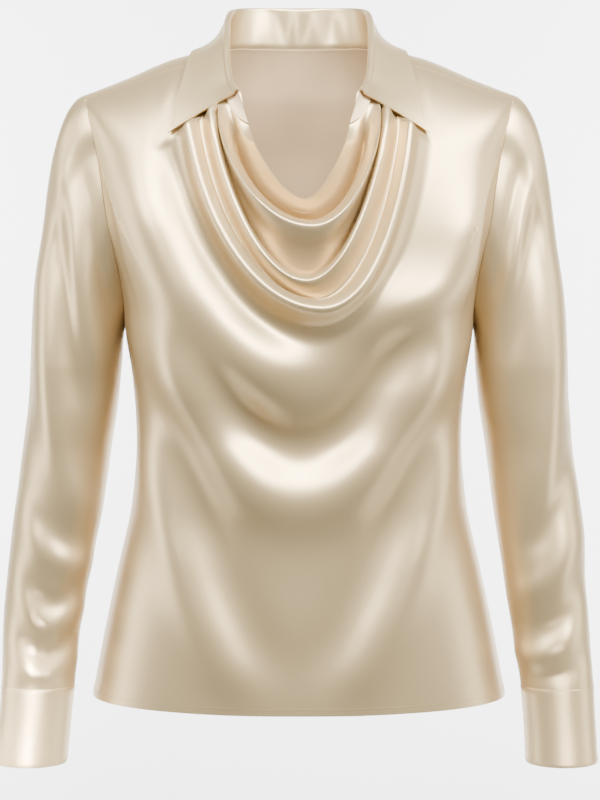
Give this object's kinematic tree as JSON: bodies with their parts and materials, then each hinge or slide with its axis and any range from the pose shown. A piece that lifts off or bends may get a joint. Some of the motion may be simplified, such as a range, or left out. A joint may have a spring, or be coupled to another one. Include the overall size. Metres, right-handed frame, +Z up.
{
  "type": "blouse",
  "caption": "Long-sleeved satin blouse, hollow as worn, with a pointed shirt collar left open over a draped cowl front, a straight flared body and plain closed cuffs.",
  "frame": {"origin": "Midway between the two ends of the shoulders, level with the base of the neck, inside the garment.", "axes": "+Z up, -Y out of the wearer's chest, +X to the viewer's right as the front is seen, which is the wearer's left."},
  "size_m": [0.5718, 0.2562, 0.7152],
  "materials": {
    "front": "champagne satin",
    "back": "champagne satin",
    "collar": "champagne satin",
    "sleeve_left": "champagne satin",
    "sleeve_right": "champagne satin",
    "cuff_left": "champagne satin",
    "cuff_right": "champagne satin"
  },
  "bodies": {
    "root": {"front": "front", "back": "back", "collar": "collar", "sleeve_left": "sleeve_left", "sleeve_right": "sleeve_right", "cuff_left": "cuff_left", "cuff_right": "cuff_right"}
  },
  "joints": []
}
